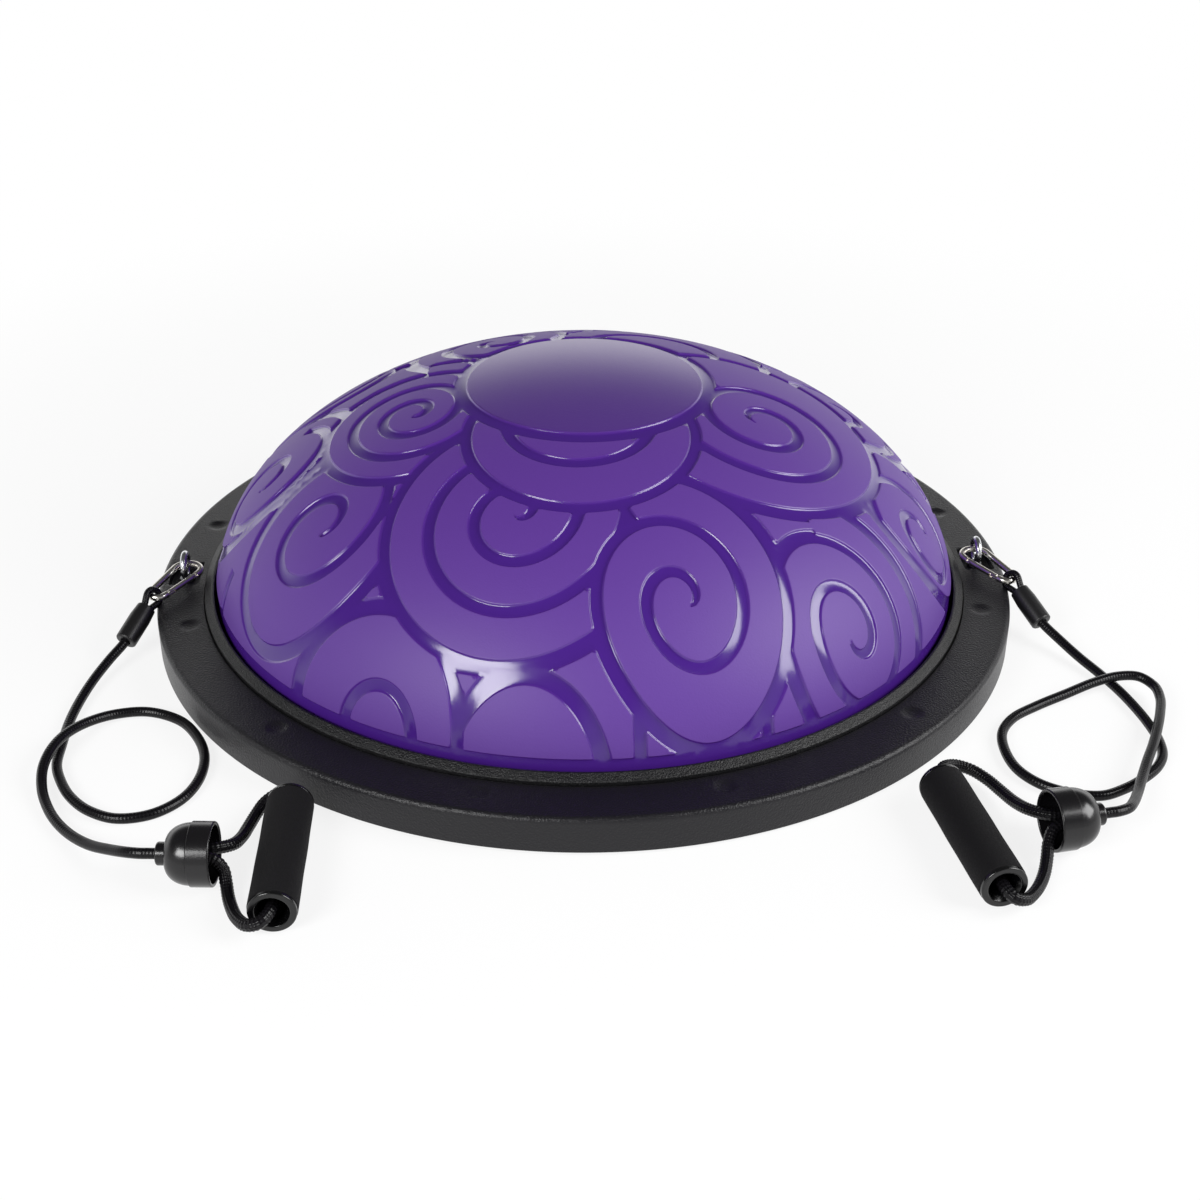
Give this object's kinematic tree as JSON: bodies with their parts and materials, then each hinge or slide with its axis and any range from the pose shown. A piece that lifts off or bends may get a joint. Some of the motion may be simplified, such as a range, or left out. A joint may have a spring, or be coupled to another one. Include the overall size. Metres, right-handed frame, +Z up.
{
  "type": "balance dome trainer",
  "caption": "Air-filled soft dome clamped to a round flat base by a rim, with elastic cords that clip to eye bolts and end in foam handles.",
  "frame": {"origin": "on the floor under the dome's centre, at the underside of the centre pad", "axes": "+Z up, +X through the right eye bolt, -Y towards the handles"},
  "size_m": [0.6916, 0.6466, 0.17],
  "materials": {
    "purple_soft_pvc": "satin moulded soft PVC",
    "charcoal_grained_plastic": "fine leather grain",
    "charcoal_speckled_plastic": "coarse speckle",
    "black_base_plastic": "satin",
    "black_foot_rubber": "matt",
    "zinc_plated_steel": "bright zinc",
    "nickel_plated_steel": "bright nickel",
    "matt_black_sleeve_plastic": "matt",
    "black_woven_cord_cover": "woven",
    "satin_black_bell_plastic": "satin",
    "gloss_black_tube_plastic": "gloss",
    "black_grip_foam": "closed-cell foam"
  },
  "bodies": {
    "base": {"base_plate": "black_base_plastic", "rim": "charcoal_grained_plastic", "clamp_ring": "charcoal_speckled_plastic", "dome": "purple_soft_pvc", "valve_seat": "black_foot_rubber", "centre_pad": "black_foot_rubber", "foot_1": "black_foot_rubber", "foot_2": "black_foot_rubber", "foot_3": "black_foot_rubber", "foot_4": "black_foot_rubber", "foot_5": "black_foot_rubber", "foot_6": "black_foot_rubber", "base_screw_1": "zinc_plated_steel", "base_screw_2": "zinc_plated_steel", "base_screw_3": "zinc_plated_steel", "base_screw_4": "zinc_plated_steel", "base_screw_5": "zinc_plated_steel", "base_screw_6": "zinc_plated_steel", "base_screw_7": "zinc_plated_steel", "base_screw_8": "zinc_plated_steel", "base_screw_9": "zinc_plated_steel", "base_screw_10": "zinc_plated_steel", "base_screw_11": "zinc_plated_steel", "base_screw_12": "zinc_plated_steel", "left_eye_bolt": "zinc_plated_steel", "left_eye_washer": "zinc_plated_steel", "left_eye_nut": "zinc_plated_steel", "left_cord": "black_woven_cord_cover", "left_cord_stop": "matt_black_sleeve_plastic", "left_handle_cord": "black_woven_cord_cover", "right_eye_bolt": "zinc_plated_steel", "right_eye_washer": "zinc_plated_steel", "right_eye_nut": "zinc_plated_steel", "right_cord": "black_woven_cord_cover", "right_cord_stop": "matt_black_sleeve_plastic", "right_handle_cord": "black_woven_cord_cover"},
    "valve_plug": {"valve_plug": "black_foot_rubber"},
    "left_hook": {"left_hook_body": "nickel_plated_steel", "left_gate_pin": "nickel_plated_steel", "left_cord_loop": "black_woven_cord_cover", "left_sleeve": "matt_black_sleeve_plastic"},
    "left_gate": {"left_hook_gate": "nickel_plated_steel"},
    "left_bell": {"left_bell": "satin_black_bell_plastic"},
    "left_handle": {"left_handle_tube": "gloss_black_tube_plastic", "left_foam_grip": "black_grip_foam", "left_near_end_cap": "gloss_black_tube_plastic", "left_far_end_cap": "gloss_black_tube_plastic"},
    "right_hook": {"right_hook_body": "nickel_plated_steel", "right_gate_pin": "nickel_plated_steel", "right_cord_loop": "black_woven_cord_cover", "right_sleeve": "matt_black_sleeve_plastic"},
    "right_gate": {"right_hook_gate": "nickel_plated_steel"},
    "right_bell": {"right_bell": "satin_black_bell_plastic"},
    "right_handle": {"right_handle_tube": "gloss_black_tube_plastic", "right_foam_grip": "black_grip_foam", "right_near_end_cap": "gloss_black_tube_plastic", "right_far_end_cap": "gloss_black_tube_plastic"}
  },
  "joints": [
    {"name": "left_hook_swing", "type": "hinge", "parent": "base", "child": "left_hook", "pos_m": [-0.273, 0.0018, 0.0314], "axis": [-0.8934, 0.4493, 0], "range_deg": [0, 60], "deforming": ["left_cord"]},
    {"name": "left_gate_opening", "type": "hinge", "parent": "left_hook", "child": "left_gate", "pos_m": [-0.27802, -0.03526, 0.03041], "axis": [-0.0125, -0.0249, 0.9996], "range_deg": [0, 25], "stiffness_Nm_per_rad": 0.01, "springref_deg": -17.19},
    {"name": "left_bell_slide", "type": "slide", "parent": "base", "child": "left_bell", "axis": [-0.9982, 0.06, 0], "range_m": [0, 0.008]},
    {"name": "left_handle_turn", "type": "hinge", "parent": "base", "child": "left_handle", "pos_m": [-0.1775, -0.2993, 0.014], "axis": [0, -1, 0], "continuous": true},
    {"name": "right_hook_swing", "type": "hinge", "parent": "base", "child": "right_hook", "pos_m": [0.273, 0.0018, 0.0314], "axis": [-0.8934, -0.4493, 0], "range_deg": [0, 60], "deforming": ["right_cord"]},
    {"name": "right_gate_opening", "type": "hinge", "parent": "right_hook", "child": "right_gate", "pos_m": [0.27802, -0.03526, 0.03041], "axis": [-0.0125, 0.0249, -0.9996], "range_deg": [0, 25], "stiffness_Nm_per_rad": 0.01, "springref_deg": -17.19},
    {"name": "right_bell_slide", "type": "slide", "parent": "base", "child": "right_bell", "axis": [0.9851, 0.172, 0], "range_m": [0, 0.008]},
    {"name": "right_handle_turn", "type": "hinge", "parent": "base", "child": "right_handle", "pos_m": [0.2045, -0.2955, 0.014], "axis": [0.149, -0.9888, 0], "continuous": true},
    {"name": "valve_plug_pull", "type": "slide", "parent": "base", "child": "valve_plug", "axis": [0, 0, -1], "range_m": [0, 0.012]}
  ]
}
